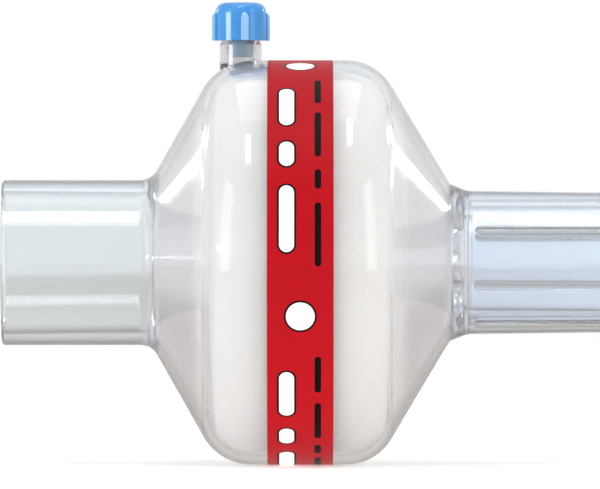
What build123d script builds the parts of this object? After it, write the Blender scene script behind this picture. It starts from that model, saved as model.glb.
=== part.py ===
from build123d import *
from math import radians, tan
import os

# Breathing circuit filter: a clear round housing of two welded shells with the filter fleece and
# the moisture foam inside, a wide socket port on the machine side, a coaxial cone-and-socket port
# on the patient side, and a sampling port with a pull-off cap on top.
#
# Sizes are millimetres and degrees. Each piece is made round the seam between the shells, at X = 0,
# with the patient side towards +X and the sampling port towards +Z. At the end all pieces are
# shifted together, so that the origin is the centre of the patient port's mouth.

# Housing
body_diameter = 63.2
wall = 1.2
edge_break = 0.3  # small chamfer on the rims of ports and bores

# Weld between the shells: a tongue on the patient side fits a socket in the machine side
seam_thickening = 0.6  # extra wall, inwards, over the weld
seam_thickening_reach = 2.4
tongue_length = 2.2
tongue_thickness = 0.85
weld_clearance = 0.05

# Machine side
machine_cone_angle = 60.5  # between the conical wall and the axis
machine_cone_start = 12.7  # seam to the sharp corner of body and cone, before rounding
machine_shoulder_round = 8.8
machine_port_diameter = 25.8
machine_port_length = 23.2
machine_neck_round = 3.0
machine_throat_round = 2.0  # inside, where the socket opens into the cone

# Patient side
patient_cone_angle = 59.3
patient_cone_start = 11.9
patient_shoulder_round = 8.4
patient_collar_diameter = 24.6  # where the cone ends in a blunt corner
patient_neck_length = 2.7
patient_neck_round = 4.0
patient_port_length = 22.5
patient_throat_round = 1.5

# Conical connectors, both tapered 1 in 40 on the diameter
connector_taper = 1 / 40
socket22_mouth = 22.5
socket22_depth = 19.0
cone22_tip = 21.9
cone22_pilot = 3.5  # short straight lead at the cone's tip
cone22_wall = 1.0
socket15_mouth = 15.5
socket15_depth = 16.0
socket15_wall = 1.15

# Ribs across the gap between the 22 mm cone and the 15 mm socket tube
rib_count = 4
rib_width = 1.65
rib_first_angle = 27.3  # above the horizontal, on the side towards -Y
rib_start = 1.35  # from the gap's floor to the rounded end of each rib
rib_setback = 0.8  # ribs stop this far inside the mouth
gap_floor_web = 1.0  # floor of the gap to the throat of the socket tube
gap_floor_round = 0.3

# Sampling port, standing on the machine side shell
sampling_offset = 9.3  # from the seam
barrel_diameter = 6.55
barrel_height = 2.4  # above the top of the body
barrel_bevel_height = 0.6
nozzle_diameter = 5.9
nozzle_height = 2.8  # above the bevel
luer_mouth = 4.29
luer_taper = 0.06
luer_depth = 6.3
sampling_hole = 2.6

# Sampling port cap
cap_diameter = 8.0
cap_height = 5.95
cap_top_round = 1.6
cap_skirt_clearance = 0.12
cap_seat_gap = 0.05  # between the cap's roof and the nozzle's end
plug_clearance = 0.05
plug_length = 5.4
plug_tip_break = 0.2
grip_count = 4
grip_first_angle = 8.6  # round from -Y towards +X
grip_width = 1.18
grip_depth = 0.55
grip_height = 4.55
grip_tip_height = 1.3
grip_top_round = 1.0

# Label band, flush in its recess over the weld
label_width = 10.2
label_thickness = 0.2
label_glue = 0.03
label_side_clearance = 0.1

# Media
media_clearance = 0.15
fleece_reach = 16.05  # seam to the middle of the domed face
foam_reach = 16.05
media_dome_radius = 124.0
fleece_rim_thickness = 0.5

# Radii and places that follow from the sizes above
body_radius = body_diameter / 2
inner_radius = body_radius - wall
seam_inner_radius = inner_radius - seam_thickening
tongue_radius = seam_inner_radius + tongue_thickness
weld_socket_radius = tongue_radius + weld_clearance
recess_radius = body_radius - label_thickness - label_glue
recess_half = label_width / 2 + label_side_clearance
media_radius = seam_inner_radius - media_clearance
ledge = tongue_length + fleece_rim_thickness
machine_port_radius = machine_port_diameter / 2
collar_radius = patient_collar_diameter / 2
pilot_radius = cone22_tip / 2
socket15_radius = socket15_mouth / 2 - socket15_depth * connector_taper / 2
socket22_radius = socket22_mouth / 2 - socket22_depth * connector_taper / 2
gap_outer_radius = pilot_radius - cone22_wall
gap_inner_radius = socket15_mouth / 2 + socket15_wall
body_top = body_radius
bevel_top = body_top + barrel_height + barrel_bevel_height
nozzle_top = bevel_top + nozzle_height
cap_bottom = bevel_top + cap_seat_gap
cap_roof = nozzle_top + cap_seat_gap


# Distance from the seam at which a conical wall has the given radius. The inset is how far that
# wall lies inside the housing's outer surface, measured square to it.
def cone_reach(start, angle, radius, inset=0):
    corner = start - inset * tan(radians(angle / 2))
    return corner + (body_radius - inset - radius) / tan(radians(angle))


def machine_cone(radius, inset=0):
    return cone_reach(machine_cone_start, machine_cone_angle, radius, inset)


def patient_cone(radius, inset=0):
    return cone_reach(patient_cone_start, patient_cone_angle, radius, inset)


machine_neck = machine_cone(machine_port_radius)
machine_mouth = machine_neck + machine_port_length
collar = patient_cone(collar_radius)
patient_neck = collar + patient_neck_length
patient_mouth = patient_neck + patient_port_length
cone22_root = pilot_radius + (patient_port_length - cone22_pilot) * connector_taper / 2
gap_floor = patient_cone(socket15_radius, wall) + gap_floor_web


# A solid of revolution about X. Each corner is its distance from the seam, its radius and its
# rounding. Side -1 turns it on the machine side, and a dome radius trims its far end to a sphere
# that stands out to the given reach.
def turned(corners, side=1, reach=0, dome=0):
    points = [(side * along, radius) for along, radius, _ in corners]
    with BuildPart() as solid:
        with BuildSketch():
            with BuildLine():
                FilletPolyline(points, radius=[rounding for _, _, rounding in corners], close=True)
            make_face()
            if dome:
                with Locations((side * (reach - dome), 0)):
                    Circle(dome, mode=Mode.INTERSECT)
        revolve(axis=Axis.X)
    return solid.part


# Outer form of the machine side, filled in down to the axis
def machine_outer():
    return turned(
        [
            (0, 0, 0),
            (0, recess_radius, 0),
            (recess_half, recess_radius, 0),
            (recess_half, body_radius, 0),
            (machine_cone_start, body_radius, machine_shoulder_round),
            (machine_neck, machine_port_radius, machine_neck_round),
            (machine_mouth - edge_break, machine_port_radius, 0),
            (machine_mouth, machine_port_radius - edge_break, 0),
            (machine_mouth, 0, 0),
        ],
        side=-1,
    )


# Everything that is open inside the machine side: weld socket, media room, cone and 22 mm socket
def machine_cavity():
    beyond = machine_mouth + wall
    shoulder = machine_cone(inner_radius, wall)
    throat = machine_cone(socket22_radius, wall)
    thick_end = ledge + seam_thickening_reach
    return turned(
        [
            (-wall, 0, 0),
            (-wall, weld_socket_radius, 0),
            (ledge, weld_socket_radius, 0),
            (ledge, seam_inner_radius, 0),
            (thick_end - seam_thickening, seam_inner_radius, 0),
            (thick_end, inner_radius, 0),
            (shoulder, inner_radius, machine_shoulder_round - wall),
            (throat, socket22_radius, machine_throat_round),
            (machine_mouth - socket22_depth, socket22_radius, 0),
            (machine_mouth - edge_break, socket22_mouth / 2, 0),
            (machine_mouth, socket22_mouth / 2 + edge_break, 0),
            (beyond, socket22_mouth / 2 + edge_break, 0),
            (beyond, 0, 0),
        ],
        side=-1,
    )


# A solid of revolution about the sampling port's axis, with corners given as radius, height and
# rounding
def turned_upright(corners):
    with BuildPart() as solid:
        with BuildSketch(Plane.XZ):
            with BuildLine():
                points = [(radius, height) for radius, height, _ in corners]
                FilletPolyline(points, radius=[rounding for _, _, rounding in corners], close=True)
            make_face()
        revolve(axis=Axis.Z)
    return Pos(-sampling_offset, 0, 0) * solid.part


# Barrel and nozzle of the sampling port, reaching down into the shell's wall
def sampling_barrel():
    return turned_upright(
        [
            (0, seam_inner_radius - barrel_diameter, 0),
            (barrel_diameter / 2, seam_inner_radius - barrel_diameter, 0),
            (barrel_diameter / 2, body_top + barrel_height, 0),
            (nozzle_diameter / 2, bevel_top, 0),
            (nozzle_diameter / 2, nozzle_top, 0),
            (0, nozzle_top, 0),
        ]
    )


# Radius of the luer taper at a height, drawn in by the given clearance
def luer_radius(height, clearance=0):
    return luer_mouth / 2 - (nozzle_top - height) * luer_taper / 2 - clearance


# Tapered bore of the sampling port, with the smaller hole that goes on through the wall
def sampling_bore():
    bottom = nozzle_top - luer_depth
    return turned_upright(
        [
            (0, seam_inner_radius - barrel_diameter, 0),
            (sampling_hole / 2, seam_inner_radius - barrel_diameter, 0),
            (sampling_hole / 2, bottom, 0),
            (luer_radius(bottom), bottom, 0),
            (luer_radius(nozzle_top + wall), nozzle_top + wall, 0),
            (0, nozzle_top + wall, 0),
        ]
    )


def make_machine_side_shell():
    return machine_outer() + sampling_barrel() - machine_cavity() - sampling_bore()


# Outer form of the patient side, with its weld tongue, filled in down to the axis
def patient_outer():
    return turned(
        [
            (-tongue_length, 0, 0),
            (-tongue_length, tongue_radius, 0),
            (0, tongue_radius, 0),
            (0, recess_radius, 0),
            (recess_half, recess_radius, 0),
            (recess_half, body_radius, 0),
            (patient_cone_start, body_radius, patient_shoulder_round),
            (collar, collar_radius, 0),
            (patient_neck, cone22_root, patient_neck_round),
            (patient_mouth - cone22_pilot, pilot_radius, 0),
            (patient_mouth - edge_break, pilot_radius, 0),
            (patient_mouth, pilot_radius - edge_break, 0),
            (patient_mouth, 0, 0),
        ]
    )


# Everything that is open inside the patient side: media room, cone and 15 mm socket
def patient_cavity():
    beyond = patient_mouth + wall
    shoulder = patient_cone(inner_radius, wall)
    throat = patient_cone(socket15_radius, wall)
    return turned(
        [
            (-tongue_length - wall, 0, 0),
            (-tongue_length - wall, seam_inner_radius, 0),
            (seam_thickening_reach - seam_thickening, seam_inner_radius, 0),
            (seam_thickening_reach, inner_radius, 0),
            (shoulder, inner_radius, patient_shoulder_round - wall),
            (throat, socket15_radius, patient_throat_round),
            (patient_mouth - socket15_depth, socket15_radius, 0),
            (patient_mouth - edge_break, socket15_mouth / 2, 0),
            (patient_mouth, socket15_mouth / 2 + edge_break, 0),
            (beyond, socket15_mouth / 2 + edge_break, 0),
            (beyond, 0, 0),
        ]
    )


# Room taken by one rib: a bar with a rounded inner end, stood up through the gap and turned into
# place about the port's axis
def rib_bar(angle):
    start = gap_floor + rib_start
    end = patient_mouth - rib_setback
    with BuildPart() as bar:
        with BuildSketch(Plane.XY):
            with Locations(((start + end + rib_width / 2) / 2, 0)):
                Rectangle(end - start - rib_width / 2, rib_width)
            with Locations((start + rib_width / 2, 0)):
                Ellipse(rib_width / 2, rib_width / 2)
        extrude(amount=body_radius)
    return Rot(angle, 0, 0) * bar.part


# Gap between the 22 mm cone and the socket tube, open at the mouth and bridged by the ribs
def patient_gap():
    gap = turned(
        [
            (gap_floor, gap_inner_radius, gap_floor_round),
            (gap_floor, gap_outer_radius, gap_floor_round),
            (patient_mouth + wall, gap_outer_radius, 0),
            (patient_mouth + wall, gap_inner_radius, 0),
        ]
    )
    for number in range(rib_count):
        gap -= rib_bar(90 - rib_first_angle + number * 360 / rib_count)
    return gap


def make_patient_side_shell():
    return patient_outer() - patient_cavity() - patient_gap()


# Domed felt disc with a thin rim that the weld tongue pinches against the socket's ledge
def make_filter_fleece():
    inset = wall + media_clearance
    return turned(
        [
            (tongue_length, 0, 0),
            (tongue_length, tongue_radius - media_clearance, 0),
            (ledge, tongue_radius - media_clearance, 0),
            (ledge, media_radius, 0),
            (machine_cone(media_radius, inset), media_radius, machine_shoulder_round - inset),
            (machine_cone(socket22_radius, inset), socket22_radius, 0),
            (machine_cone(socket22_radius, inset), 0, 0),
        ],
        side=-1,
        reach=fleece_reach,
        dome=media_dome_radius,
    )


# Domed foam disc that fills the patient side and lies flat against the fleece
def make_moisture_foam():
    inset = wall + media_clearance
    return turned(
        [
            (-tongue_length, 0, 0),
            (-tongue_length, media_radius, 0),
            (patient_cone(media_radius, inset), media_radius, patient_shoulder_round - inset),
            (patient_cone(socket15_radius, inset), socket15_radius, 0),
            (patient_cone(socket15_radius, inset), 0, 0),
        ],
        reach=foam_reach,
        dome=media_dome_radius,
    )


def make_label_band():
    half = label_width / 2
    return turned(
        [
            (-half, body_radius - label_thickness, 0),
            (-half, body_radius, 0),
            (half, body_radius, 0),
            (half, body_radius - label_thickness, 0),
        ]
    )


# Cap body, with the skirt over the nozzle and the tapered plug in its bore
def cap_body():
    skirt_radius = nozzle_diameter / 2 + cap_skirt_clearance
    tip = cap_roof - plug_length
    return turned_upright(
        [
            (0, tip, 0),
            (luer_radius(tip, plug_clearance) - plug_tip_break, tip, 0),
            (luer_radius(tip + plug_tip_break, plug_clearance), tip + plug_tip_break, 0),
            (luer_radius(cap_roof, plug_clearance), cap_roof, 0),
            (skirt_radius, cap_roof, 0),
            (skirt_radius, cap_bottom, 0),
            (cap_diameter / 2, cap_bottom, 0),
            (cap_diameter / 2, cap_bottom + cap_height, cap_top_round),
            (0, cap_bottom + cap_height, 0),
        ]
    )


# Ring that the grip ribs are cut from, rounded off at its upper outer edge
def grip_ring():
    inside = cap_diameter / 2 - grip_depth
    outside = cap_diameter / 2 + grip_depth
    top = cap_bottom + grip_height
    return turned_upright(
        [
            (inside, cap_bottom, 0),
            (outside, cap_bottom, 0),
            (outside, top, grip_top_round),
            (inside, top, 0),
        ]
    )


# One grip rib: a tall pointed arch on the cap's side
def grip_rib(angle):
    half = grip_width / 2
    tip = cap_bottom + grip_height
    shoulder = tip - grip_tip_height
    with BuildPart() as arch:
        with BuildSketch(Plane.XZ):
            with BuildLine():
                Line((-half, cap_bottom), (half, cap_bottom))
                Line((half, cap_bottom), (half, shoulder))
                TangentArc((half, shoulder), (0, tip), tangent=(0, 1))
                TangentArc((-half, shoulder), (0, tip), tangent=(0, 1))
                Line((-half, shoulder), (-half, cap_bottom))
            make_face()
        extrude(amount=cap_diameter)
    return grip_ring() & (Pos(-sampling_offset, 0, 0) * Rot(0, 0, angle) * arch.part)


def make_sampling_port_cap():
    cap = cap_body()
    for number in range(grip_count):
        cap += grip_rib(grip_first_angle + number * 360 / grip_count)
    return cap


pieces = {
    "machine_side_shell": make_machine_side_shell(),
    "patient_side_shell": make_patient_side_shell(),
    "filter_fleece": make_filter_fleece(),
    "moisture_foam": make_moisture_foam(),
    "label_band": make_label_band(),
    "sampling_port_cap": make_sampling_port_cap(),
}

os.makedirs("parts", exist_ok=True)
for name, piece in pieces.items():
    export_step(Pos(-patient_mouth, 0, 0) * piece, f"parts/{name}.step")
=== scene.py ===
import bpy
import bmesh
import math
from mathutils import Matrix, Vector, noise


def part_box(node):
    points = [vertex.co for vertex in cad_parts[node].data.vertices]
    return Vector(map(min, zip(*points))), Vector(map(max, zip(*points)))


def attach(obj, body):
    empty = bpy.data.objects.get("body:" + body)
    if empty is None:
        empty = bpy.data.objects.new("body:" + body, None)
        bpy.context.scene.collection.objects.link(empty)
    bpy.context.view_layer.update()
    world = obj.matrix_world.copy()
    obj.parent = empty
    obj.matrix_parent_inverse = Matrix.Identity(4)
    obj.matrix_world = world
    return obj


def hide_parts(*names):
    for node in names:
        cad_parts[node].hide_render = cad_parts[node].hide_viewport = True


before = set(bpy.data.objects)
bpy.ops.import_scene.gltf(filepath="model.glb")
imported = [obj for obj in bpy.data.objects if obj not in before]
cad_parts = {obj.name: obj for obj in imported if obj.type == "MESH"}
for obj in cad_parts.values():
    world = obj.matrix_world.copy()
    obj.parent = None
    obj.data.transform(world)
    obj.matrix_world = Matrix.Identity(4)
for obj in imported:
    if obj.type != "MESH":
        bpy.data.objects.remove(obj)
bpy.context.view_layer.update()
mm = 0.001

# Where things are, read from the frame
bandLow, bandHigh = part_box("label_band")
seamX = (bandLow.x + bandHigh.x) / 2
bodyRadius = bandHigh.z
floorZ = -bodyRadius
print("frame loaded, seam at", round(seamX / mm, 2), "mm")

# The light that the felt and the foam gather through the clear walls is raised by this much, so
# that they look about as pale through them as they are
wallGain = 1.6


# Shader values that can be used in plain expressions
class Signal:
    def __init__(self, finish, socket):
        self.finish = finish
        self.socket = socket

    def __add__(self, other):
        return self.finish.maths("ADD", self, other)

    def __radd__(self, other):
        return self.finish.maths("ADD", other, self)

    def __sub__(self, other):
        return self.finish.maths("SUBTRACT", self, other)

    def __rsub__(self, other):
        return self.finish.maths("SUBTRACT", other, self)

    def __mul__(self, other):
        return self.finish.maths("MULTIPLY", self, other)

    def __rmul__(self, other):
        return self.finish.maths("MULTIPLY", other, self)

    def __lt__(self, other):
        return self.finish.maths("LESS_THAN", self, other)

    def __gt__(self, other):
        return self.finish.maths("GREATER_THAN", self, other)


# The node tree of one material, lamp or world
class Finish:
    def __init__(self, block):
        self.block = block
        self.block.use_nodes = True
        self.tree = self.block.node_tree
        self.tree.nodes.clear()

    def add(self, kind, settings=None, sockets=None, output=0):
        node = self.tree.nodes.new(kind)
        for name, value in (settings or {}).items():
            setattr(node, name, value)
        for name, value in (sockets or {}).items():
            if isinstance(value, Signal):
                self.tree.links.new(value.socket, node.inputs[name])
            else:
                node.inputs[name].default_value = value
        return Signal(self, node.outputs[output]) if node.outputs else None

    def maths(self, operation, *values):
        return self.add("ShaderNodeMath", {"operation": operation}, dict(enumerate(values)))

    def distance(self, across, along):
        return self.maths("SQRT", across * across + along * along)

    # Degrees round the ports' axis, up from the horizontal on the side towards -Y
    def bearing(self, y, z):
        return self.maths("ARCTAN2", z, 0 - y) * math.degrees(1)

    # Where a surface point is, in millimetres unless another scale is given
    def place(self, scale=1 / mm):
        here = self.add("ShaderNodeTexCoord", output="Object")
        sockets = {"Vector": here, "Scale": (scale, scale, scale)}
        return self.add("ShaderNodeMapping", {"vector_type": "POINT"}, sockets)

    def split(self, vector):
        node = self.add("ShaderNodeSeparateXYZ", sockets={"Vector": vector}).socket.node
        return [Signal(self, socket) for socket in node.outputs]

    # Mix has a set of sockets for each data type, and these are the numbers of its colour ones
    def blend(self, factor, under, over):
        sockets = {0: factor, 6: under, 7: over}
        return self.add("ShaderNodeMix", {"data_type": "RGBA"}, sockets, output=2)

    def mixShaders(self, factor, under, over):
        return self.add("ShaderNodeMixShader", sockets={0: factor, 1: under, 2: over})

    def cloud(self, where, scale, detail=3.0, roughness=0.5):
        sockets = {"Vector": where, "Scale": scale, "Detail": detail, "Roughness": roughness}
        return self.add("ShaderNodeTexNoise", sockets=sockets)

    def bump(self, height, strength, distance):
        sockets = {"Height": height, "Strength": strength, "Distance": distance}
        return self.add("ShaderNodeBump", sockets=sockets)

    def ease(self, value, start, end):
        sockets = {"Value": value, "From Min": start, "From Max": end}
        return self.add("ShaderNodeMapRange", {"interpolation_type": "SMOOTHSTEP"}, sockets)

    def rays(self, *kinds):
        node = self.add("ShaderNodeLightPath").socket.node
        total = sum(Signal(self, node.outputs[kind]) for kind in kinds)
        return self.add("ShaderNodeClamp", sockets={"Value": total})

    # What shows in or through glossy things, leaving out the light that falls on matt ones
    def mirrored(self):
        matt = self.rays("Diffuse Depth")
        return self.rays("Is Glossy Ray", "Is Transmission Ray") * (1 - matt)

    # A level of 1, raised for the light that a matt thing gathers through a clear wall
    def throughWall(self):
        behind = self.rays("Is Transmission Ray") * self.rays("Diffuse Depth")
        return 1 + (wallGain - 1) * behind

    def show(self, sockets, kind="ShaderNodeOutputMaterial"):
        self.add(kind, sockets=sockets)
        return self.block


# A colour given as it looks on screen, 0 to 255
def screenColour(*levels):
    shares = [level / 255 for level in levels]
    linear = [c / 12.92 if c < 0.04045 else ((c + 0.055) / 1.055) ** 2.4 for c in shares]
    return (*linear, 1.0)


# Clear plastic. Its tint changes along the axis: clearest over the media, greyer on the cones as
# painted shade, and bluish in the patient port. Painted shade also greys it where a wall is seen
# edge on, over the sampling barrel, and over the ribs that show through the walls.
clearPlastic = {
    "overMedia": screenColour(253, 253, 254),
    # painted shade: a greyer tint for the cones
    "cone": screenColour(238, 238, 240),
    "machinePort": screenColour(240, 244, 246),
    "patientPort": screenColour(246, 250, 255),
    "coneFrom": (15.4, 16.6),  # millimetres from the seam where a tint starts and is full
    "machineFrom": (22.0, 24.5),
    "patientFrom": (24.0, 26.5),
    # painted shade: grey over the ribs where they show through the walls
    "rib": screenColour(176, 174, 168),
    "ribWidth": 1.65,
    "ribSoftness": 0.1,
    "ribRadius": 11.0,  # from the axis
    "ribEnd": 27.95,  # from the seam to the middle of its round end
    "firstRib": 27.3,  # degrees above the horizontal on the side towards -Y
    "ribEvery": 90.0,
    # painted shade: a flat grey over the sampling barrel, in place of its edge shade
    "barrel": screenColour(222, 222, 224),
    "barrelAxis": -9.3,  # from the seam
    "barrelRadius": (4.8, 5.8),
    "barrelFoot": (28.0, 29.5),  # above the axis
    # painted shade: the grey that the walls take where they are seen edge on
    "edge": screenColour(88, 89, 93),
    "edgeTurn": (0.68, 0.93),  # how far a wall has turned away where its tint starts and is full
    "portEdgeTurn": (0.5, 0.78),
    "portsFrom": (23.0, 25.5),
    "clearness": 0.95,
    "gloss": 0.04,
    "glossChange": 0.03,
    "driftScale": 0.12,
    "driftDetail": 2.0,
    "index": 1.5,
    "absorbColour": (0.55, 0.6, 0.68, 1.0),
    "absorbDensity": 14.0,
    "shadowTint": (0.98, 0.982, 0.985, 1.0),
    "rippleScale": 0.25,
    "rippleDetail": 1.0,
    "rippleStrength": 0.05,
    "rippleHeight": 0.02 * mm,
}


# Where the ribs between the patient port's two tubes lie, through every wall that they join, for the
# painted shade that greys the walls over them
def ribMask(m, along, y, z, s):
    half = s["ribEvery"] / 2
    turn = m.bearing(y, z) - s["firstRib"] + half
    aside = (m.maths("FLOORED_MODULO", turn, s["ribEvery"]) - half) * math.radians(s["ribRadius"])
    beyond = m.maths("MAXIMUM", s["ribEnd"] - along, 0.0)
    edge = s["ribWidth"] / 2
    soft = s["ribSoftness"]
    return 1 - m.ease(m.distance(aside, beyond), edge - soft, edge + soft)


def makeClearPlastic(s):
    m = Finish(bpy.data.materials.new("clearPlastic"))
    where = m.place()
    x, y, z = m.split(where)
    along = x - seamX / mm
    fromSeam = m.maths("ABSOLUTE", along)
    # painted shade: the cones are tinted greyer
    tint = m.blend(m.ease(fromSeam, *s["coneFrom"]), s["overMedia"], s["cone"])
    tint = m.blend(m.ease(along, *s["patientFrom"]), tint, s["patientPort"])
    tint = m.blend(m.ease(0 - along, *s["machineFrom"]), tint, s["machinePort"])
    # painted shade: the walls are greyed over the ribs
    tint = m.blend(ribMask(m, along, y, z, s), tint, s["rib"])
    # painted shade: flat grey over the sampling barrel, which there takes the place of the edge
    # shade
    fromBarrel = m.distance(along - s["barrelAxis"], y)
    barrel = m.ease(z, *s["barrelFoot"]) * (1 - m.ease(fromBarrel, *s["barrelRadius"]))
    tint = m.blend(barrel, tint, s["barrel"])
    # painted shade: a grey tint where a wall turns edge on, over the body and sooner on the ports
    turned = m.add("ShaderNodeLayerWeight", sockets={"Blend": 0.5}, output="Facing")
    bodyEdge = m.ease(turned, *s["edgeTurn"]) * (1 - barrel)
    portEdge = m.ease(turned, *s["portEdgeTurn"])
    ports = m.ease(fromSeam, *s["portsFrom"])
    tint = m.blend(bodyEdge + ports * (portEdge - bodyEdge), tint, s["edge"])
    drift = m.cloud(where, s["driftScale"], s["driftDetail"])
    ripple = m.cloud(where, s["rippleScale"], s["rippleDetail"])
    body = m.add(
        "ShaderNodeBsdfPrincipled",
        sockets={
            "Base Color": tint,
            "Roughness": s["gloss"] + s["glossChange"] * drift,
            "IOR": s["index"],
            "Transmission Weight": s["clearness"],
            "Normal": m.bump(ripple, s["rippleStrength"], s["rippleHeight"]),
        },
    )
    through = m.add("ShaderNodeBsdfTransparent", sockets={"Color": s["shadowTint"]})
    depth = m.add(
        "ShaderNodeVolumeAbsorption",
        sockets={"Color": s["absorbColour"], "Density": s["absorbDensity"]},
    )
    surface = m.mixShaders(m.rays("Is Shadow Ray"), body, through)
    return m.show({"Surface": surface, "Volume": depth})


# Blue plastic of the cap, with a painted highlight on its grips and painted light on its plug
bluePlastic = {
    "colour": screenColour(38, 128, 200),
    "paler": screenColour(70, 150, 216),
    "driftScale": 0.5,
    # painted highlight: a paler blue on the grips
    "grip": screenColour(140, 188, 232),
    "gripFrom": (4.04, 4.3),  # from the cap's axis
    # painted light: a paler blue on the plug, which lies in the cap's shade
    "plug": screenColour(168, 210, 236),
    "plugTop": (34.3, 34.7),  # above the ports' axis
    "capAxis": -9.3,  # from the seam
    "gloss": 0.08,
    "glossChange": 0.06,
    "grainScale": 9.0,
    "grainStrength": 0.1,
    "grainHeight": 0.01 * mm,
    "depth": 0.08,
    "reachInside": (0.4 * mm, 0.8 * mm, 1.5 * mm),
}


def makeBluePlastic(s):
    m = Finish(bpy.data.materials.new("bluePlastic"))
    where = m.place()
    x, y, z = m.split(where)
    fromCapAxis = m.distance(x - (seamX / mm + s["capAxis"]), y)
    drift = m.cloud(where, s["driftScale"])
    grain = m.cloud(where, s["grainScale"])
    colour = m.blend(drift, s["colour"], s["paler"])
    # painted highlight: the grips are paler
    colour = m.blend(m.ease(fromCapAxis, *s["gripFrom"]), colour, s["grip"])
    # painted light: the plug under the cap is paler
    colour = m.blend(m.ease(z, *s["plugTop"]), s["plug"], colour)
    body = m.add(
        "ShaderNodeBsdfPrincipled",
        sockets={
            "Base Color": colour,
            "Roughness": s["gloss"] + s["glossChange"] * drift,
            "Normal": m.bump(grain, s["grainStrength"], s["grainHeight"]),
            "Subsurface Weight": s["depth"],
            "Subsurface Radius": s["reachInside"],
            "Subsurface Scale": 1.0,
        },
    )
    return m.show({"Surface": body})


# The printed film: a round white dot and two columns of plain dashes in each quarter turn. Dashes
# are given by their start and end in degrees down from the dot, and widths in millimetres.
labelFilm = {
    "red": screenColour(180, 19, 29),
    "deepRed": screenColour(168, 14, 25),
    "white": screenColour(250, 250, 250),
    "black": screenColour(16, 12, 14),
    "driftScale": 0.3,
    "quarter": 90.0,
    "firstDot": 75.0,  # degrees above the horizontal on the side towards -Y
    "dotWidth": 4.4,
    "outline": 0.32,  # the black line round each white mark
    "whiteColumn": {"across": -2.1, "width": 2.3, "dashes": ((17, 33), (39, 47), (53, 72))},
    "blackColumn": {
        "across": 2.7,
        "width": 1.0,
        "dashes": ((12, 24), (28, 44), (48, 54), (58, 76)),
    },
    "gloss": 0.36,
    "glossChange": 0.1,
    "shine": 0.05,
    "grainScale": 6.0,
    "grainStrength": 0.1,
    "grainHeight": 0.01 * mm,
}


def makeLabelFilm(s):
    m = Finish(bpy.data.materials.new("labelFilm"))
    where = m.place()
    x, y, z = m.split(where)
    across = x - seamX / mm
    perDegree = math.radians(bodyRadius / mm)  # millimetres along the band
    quarter = s["quarter"]
    below = m.maths("FLOORED_MODULO", s["firstDot"] - m.bearing(y, z), quarter)
    around = m.maths("FLOORED_MODULO", below + quarter / 2, quarter) - quarter / 2

    # Distance from the line in the middle of a dash with round ends
    def fromDash(column, start, end):
        half = (end - start) / 2 * perDegree - column["width"] / 2
        along = m.maths("ABSOLUTE", (below - (start + end) / 2) * perDegree) - half
        return m.distance(m.maths("MAXIMUM", along, 0.0), across - column["across"])

    def whiteMark(colour, away, width):
        colour = m.blend(away < width / 2 + s["outline"], colour, s["black"])
        return m.blend(away < width / 2, colour, s["white"])

    colour = m.blend(m.cloud(where, s["driftScale"]), s["red"], s["deepRed"])
    column = s["whiteColumn"]
    for start, end in column["dashes"]:
        colour = whiteMark(colour, fromDash(column, start, end), column["width"])
    column = s["blackColumn"]
    for start, end in column["dashes"]:
        colour = m.blend(fromDash(column, start, end) < column["width"] / 2, colour, s["black"])
    colour = whiteMark(colour, m.distance(across, around * perDegree), s["dotWidth"])
    grain = m.cloud(where, s["grainScale"])
    body = m.add(
        "ShaderNodeBsdfPrincipled",
        sockets={
            "Base Color": colour,
            "Roughness": s["gloss"] + s["glossChange"] * grain,
            "Specular IOR Level": s["shine"],
            "Normal": m.bump(grain, s["grainStrength"], s["grainHeight"]),
        },
    )
    return m.show({"Surface": body})


# Felt and foam discs: a domed face, a round shoulder, a straight side and a flat back. Sizes are
# millimetres from the seam and from the axis, just inside the CAD discs.
felt = {
    "side": -1,  # towards the machine port
    "reach": 16.0,  # the middle of the dome
    "domeRadius": 124.0,
    "domeEnd": 27.65,
    "shoulder": (7.9, 22.15),  # the centre of its rounding
    "back": 2.25,
    "rim": (2.65, 30.4),  # the thin edge that the weld pinches
    "unevenness": 0.14,
    "lumps": 0.16,  # per millimetre
    "colour": screenColour(252, 251, 249),
    "shade": screenColour(244, 241, 236),
    "shading": (0.5, 0.5),  # shares of the fibres and of the drift
    "driftScale": 0.08,
    "fibreScale": 2.2,
    "fibreDetail": 6.0,
    "fibreRoughness": 0.7,
    "fibreStretch": (0.4, 1.0, 1.0),
    "grainStrength": 0.6,
    "grainHeight": 0.12 * mm,
    "gloss": 0.9,
    "glossChange": 0.08,
    "sheen": 0.3,
    "depth": 0.5,
    "reachInside": (6 * mm, 5.5 * mm, 5 * mm),
}
foam = {
    "side": 1,  # towards the patient port
    "reach": 16.0,
    "domeRadius": 124.0,
    "domeEnd": 26.85,
    "shoulder": (7.45, 22.58),
    "back": -2.15,
    "rim": None,
    "unevenness": 0.12,
    "lumps": 0.22,
    "colour": screenColour(252, 250, 246),
    "shade": screenColour(243, 238, 231),
    "shading": (0.4, 0.5),  # shares of the pores and of the drift
    "driftScale": 0.08,
    "poreScale": 1.6,
    "grainStrength": 0.6,
    "grainHeight": 0.15 * mm,
    "gloss": 0.86,
    "glossChange": 0.1,
    "sheen": 0.15,
    "depth": 0.5,
    "reachInside": (6 * mm, 5.2 * mm, 4.2 * mm),
}
discSteps = {"dome": 40, "shoulder": 12, "turn": 160, "edge": 3}
mergeWithin = 0.001 * mm
sharpTurn = 0.25  # radians between two faces, past which their edge is rounded
edgeRound = 0.2 * mm


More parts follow.
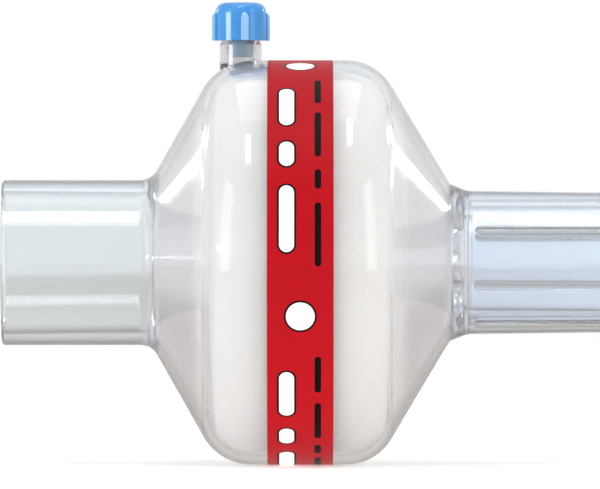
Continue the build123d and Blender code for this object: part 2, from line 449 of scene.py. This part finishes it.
def makeDisc(name, s):
    side = s["side"]
    bm = bmesh.new()

    def spot(along, out):
        return Vector((seamX + side * along * mm, 0, out * mm))

    # Swings the profile's last point about a centre, and returns the arc's end
    def swing(point, centre, angle, steps):
        made = bmesh.ops.spin(
            bm, geom=[point], cent=spot(*centre), axis=(0, 1, 0), angle=-side * angle, steps=steps
        )
        return made["geom_last"][0]

    def lineTo(point, along, out):
        made = bmesh.ops.extrude_vert_indiv(bm, verts=[point])["verts"][0]
        made.co = spot(along, out)
        return made

    point = bm.verts.new(spot(s["reach"], 0))
    domeCentre = (s["reach"] - s["domeRadius"], 0)
    domeAngle = math.asin(s["domeEnd"] / s["domeRadius"])
    point = swing(point, domeCentre, domeAngle, discSteps["dome"])
    alongRound, outRound = s["shoulder"]
    lean = math.atan2((point.co.x - seamX) / mm * side - alongRound, point.co.z / mm - outRound)
    point = swing(point, s["shoulder"], lean, discSteps["shoulder"])
    radius = point.co.z / mm
    print(name, "is", round(2 * radius, 2), "mm across")
    if s["rim"]:
        rimAlong, rimOut = s["rim"]
        point = lineTo(point, rimAlong, radius)
        point = lineTo(point, rimAlong, rimOut)
        point = lineTo(point, s["back"], rimOut)
    else:
        point = lineTo(point, s["back"], radius)
    lineTo(point, s["back"], 0)
    bmesh.ops.spin(
        bm,
        geom=bm.verts[:] + bm.edges[:],
        cent=(seamX, 0, 0),
        axis=(1, 0, 0),
        angle=2 * math.pi,
        steps=discSteps["turn"],
        use_merge=True,
    )
    bmesh.ops.remove_doubles(bm, verts=bm.verts, dist=mergeWithin)
    sharp = [e for e in bm.edges if len(e.link_faces) == 2 and e.calc_face_angle() > sharpTurn]
    bmesh.ops.bevel(
        bm,
        geom=sharp,
        offset=edgeRound,
        offset_type="OFFSET",
        segments=discSteps["edge"],
        profile=0.5,
        affect="EDGES",
        material=-1,
    )
    bmesh.ops.recalc_face_normals(bm, faces=bm.faces)
    bm.normal_update()
    for v in bm.verts:  # pressed inwards only, so that the disc stays within its solid
        lump = 0.5 + 0.5 * noise.noise(v.co / mm * s["lumps"])
        v.co -= v.normal * min(max(lump, 0), 1) * s["unevenness"] * mm
    for f in bm.faces:
        f.smooth = True
    mesh = bpy.data.meshes.new(name)
    bm.to_mesh(mesh)
    bm.free()
    disc = bpy.data.objects.new(name, mesh)
    bpy.context.collection.objects.link(disc)
    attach(disc, "filter")
    return disc


def makeSoftBody(m, s, where, grain):
    grainShare, driftShare = s["shading"]
    shade = grainShare * grain + driftShare * m.cloud(where, s["driftScale"])
    body = m.add(
        "ShaderNodeBsdfPrincipled",
        sockets={
            "Base Color": m.blend(shade, s["colour"], s["shade"]),
            "Roughness": s["gloss"] + s["glossChange"] * grain,
            "Sheen Weight": s["sheen"],
            "Subsurface Weight": s["depth"],
            "Subsurface Radius": s["reachInside"],
            "Subsurface Scale": 1.0,
            "Normal": m.bump(grain, s["grainStrength"], s["grainHeight"]),
        },
    )
    return m.show({"Surface": body})


def makeFelt(s):
    m = Finish(bpy.data.materials.new("feltFibres"))
    where = m.place()
    stretch = {0: where, 1: s["fibreStretch"]}
    stretched = m.add("ShaderNodeVectorMath", {"operation": "MULTIPLY"}, stretch)
    fibres = m.cloud(stretched, s["fibreScale"], s["fibreDetail"], s["fibreRoughness"])
    return makeSoftBody(m, s, where, fibres)


def makeFoam(s):
    m = Finish(bpy.data.materials.new("openFoam"))
    where = m.place()
    pores = m.add("ShaderNodeTexVoronoi", sockets={"Vector": where, "Scale": s["poreScale"]})
    return makeSoftBody(m, s, where, pores)


fleeceDisc = makeDisc("fleeceDisc", felt)
fleeceDisc.data.materials.append(makeFelt(felt))
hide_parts("filter_fleece")
foamDisc = makeDisc("foamDisc", foam)
foamDisc.data.materials.append(makeFoam(foam))
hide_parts("moisture_foam")
print("fleece and foam made")


def giveFinish(node, material):
    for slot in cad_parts[node].material_slots:
        slot.material = material


clearMaterial = makeClearPlastic(clearPlastic)
giveFinish("machine_side_shell", clearMaterial)
giveFinish("patient_side_shell", clearMaterial)
giveFinish("sampling_port_cap", makeBluePlastic(bluePlastic))
giveFinish("label_band", makeLabelFilm(labelFilm))
print("finishes made")

# The floor. It glows for the camera, so that it shows white but keeps the object's shadow, and sends
# light back to matt things.
floorPaint = {
    "size": 3.0,
    "colour": screenColour(232, 230, 227),
    "bounce": 0.78,
    "glow": 0.38,
    "farGlow": 0.95,
    "farFrom": (60 * mm, 350 * mm),
    "mirrored": (0.72, 0.675, 0.645, 1),
    "dark": (0, 0, 0, 1),
    "light": (1, 1, 1, 1),
}


def makeFloor(s):
    bm = bmesh.new()
    bmesh.ops.create_grid(bm, x_segments=1, y_segments=1, size=s["size"] / 2)
    bmesh.ops.translate(bm, verts=bm.verts, vec=(seamX, 0, floorZ))
    mesh = bpy.data.meshes.new("floor")
    bm.to_mesh(mesh)
    bm.free()
    floor = bpy.data.objects.new("floor", mesh)
    bpy.context.collection.objects.link(floor)
    m = Finish(bpy.data.materials.new("floorPaint"))
    paint = m.add("ShaderNodeBsdfDiffuse", sockets={"Color": s["colour"]})
    x, y = m.split(m.place(scale=1.0))[:2]
    far = m.ease(m.distance(x - seamX, y), *s["farFrom"])
    seen = s["glow"] + (s["farGlow"] - s["glow"]) * far
    level = seen * m.rays("Is Camera Ray") + s["bounce"] * m.rays("Diffuse Depth")
    tone = m.blend(level, s["dark"], s["light"])
    glow = m.add("ShaderNodeEmission", sockets={"Color": tone})
    lit = m.add("ShaderNodeAddShader", sockets={0: paint, 1: glow})
    reflected = m.add("ShaderNodeEmission", sockets={"Color": s["mirrored"]})
    mesh.materials.append(m.show({"Surface": m.mixShaders(m.mirrored(), lit, reflected)}))


# White behind everything, with a bluish ceiling for what shows in or through glossy things
studio = {
    "fill": 0.72,
    "seen": 1.0,
    "colour": (1, 1, 1, 1),
    "horizon": 0.96,
    "roof": 1.0,
    "roofColour": (0.9, 0.96, 1, 1),
    "roofFrom": (0.14, 0.55),  # how high it starts and is full, as a share of straight up
}


def makeWorld(s):
    m = Finish(bpy.data.worlds.new("studio"))
    height = m.split(m.add("ShaderNodeTexCoord", output="Generated"))[2]
    ceiling = m.ease(height, *s["roofFrom"])
    tent = s["horizon"] + (s["roof"] - s["horizon"]) * ceiling
    camera = m.rays("Is Camera Ray")
    mirrored = m.mirrored()
    fill = (1 - mirrored) * m.throughWall() * s["fill"]
    level = camera * s["seen"] + (1 - camera) * (mirrored * tent + fill)
    tone = m.blend(ceiling * mirrored, s["colour"], s["roofColour"])
    background = m.add("ShaderNodeBackground", sockets={"Color": tone, "Strength": level})
    bpy.context.scene.world = m.show({"Surface": background}, "ShaderNodeOutputWorld")


# Soft boxes. Each stands the given way from the point that it is aimed at, which is given along the
# axis from the seam and above it. Lengths are in metres and power in watts. The shining ones show
# in glossy things and leave matt ones alone, and the fill lamps light only the matt ones.
lampAway = 0.5
shiningLamps = {
    "stripOverMachine": {
        "at": (-0.055, 0),
        "towards": (0, -0.394, 0.919),
        "size": (0.07, 0.16),
        "power": 0.21,
    },
    "stripOverPatient": {
        "at": (0.055, 0),
        "towards": (0, -0.194, 0.981),
        "size": (0.07, 0.16),
        "power": 0.21,
    },
    "leftBack": {
        "at": (0, 0),
        "towards": (-0.695, 0.659, 0.286),
        "size": (0.036, 0.12),
        "power": 0.2,
    },
    "rightBack": {
        "at": (0, 0),
        "towards": (0.695, 0.659, 0.286),
        "size": (0.036, 0.12),
        "power": 0.2,
    },
    "capPanel": {
        "at": (0, 0.051),
        "towards": (-0.85, -0.53, 0),
        "size": (0.2, 0.022),
        "power": 0.2,
    },
    "leftNeck": {
        "at": (0, 0),
        "towards": (-0.81, -0.59, 0),
        "size": (0.2, 0.8),
        "power": 0.7,
    },
    "rightNeck": {
        "at": (0, 0),
        "towards": (0.81, -0.59, 0),
        "size": (0.2, 0.8),
        "power": 0.7,
    },
    "overhead": {
        "at": (0, 0),
        "towards": (0, 0.27, 0.96),
        "size": (0.3, 0.35),
        "power": 0.3,
    },
}
fillLamps = {
    "frontFill": {
        "at": (0, 0),
        "towards": (-0.1, -0.97, 0.22),
        "size": (0.6, 0.24),
        "power": 0.15,
    },
    "topFill": {
        "at": (0, 0),
        "towards": (0, -0.35, 0.94),
        "size": (0.6, 0.3),
        "power": 0.95,
    },
    "leftFill": {
        "at": (0, 0),
        "towards": (-0.95, -0.28, 0.1),
        "size": (0.4, 0.4),
        "power": 0.6,
    },
    "rightFill": {
        "at": (0, 0),
        "towards": (0.95, -0.28, 0.1),
        "size": (0.4, 0.4),
        "power": 0.6,
    },
}


def makeLamp(name, s, shines):
    data = bpy.data.lights.new(name, "AREA")
    data.shape = "RECTANGLE"
    data.size, data.size_y = s["size"]
    data.energy = s["power"]
    m = Finish(data)
    level = 1 - m.rays("Diffuse Depth") if shines else m.throughWall()
    glow = m.add("ShaderNodeEmission", sockets={"Strength": level})
    m.show({"Surface": glow}, "ShaderNodeOutputLight")
    lamp = bpy.data.objects.new(name, data)
    lamp.visible_diffuse = not shines
    lamp.visible_glossy = lamp.visible_transmission = shines
    along, height = s["at"]
    direction = Vector(s["towards"]).normalized()
    lamp.location = Vector((seamX + along, 0, height)) + direction * lampAway
    lamp.rotation_euler = direction.to_track_quat("Z", "Y").to_euler()
    bpy.context.collection.objects.link(lamp)


# The camera looks straight along +Y, from so far that the view is nearly flat
view = {
    "width": 93.75 * mm,
    "centre": (seamX - 0.04 * mm, 2.81 * mm),
    "lens": 500.0,
    "clipEnd": 100.0,
}


def makeCamera(s):
    data = bpy.data.cameras.new("camera")
    data.lens = s["lens"]
    data.clip_end = s["clipEnd"]
    camera = bpy.data.objects.new("camera", data)
    distance = s["width"] * s["lens"] / data.sensor_width
    along, height = s["centre"]
    camera.location = (along, -distance, height)
    camera.rotation_euler = (math.pi / 2, 0, 0)
    bpy.context.collection.objects.link(camera)
    bpy.context.scene.camera = camera


makeFloor(floorPaint)
makeWorld(studio)
for name, lamp in shiningLamps.items():
    makeLamp(name, lamp, shines=True)
for name, lamp in fillLamps.items():
    makeLamp(name, lamp, shines=False)
makeCamera(view)
bpy.context.scene.view_settings.view_transform = "Standard"
cycles = bpy.context.scene.cycles
bounces = 64  # many, for the thick clear walls
cycles.max_bounces = cycles.glossy_bounces = cycles.transmission_bounces = bounces
print("room ready")
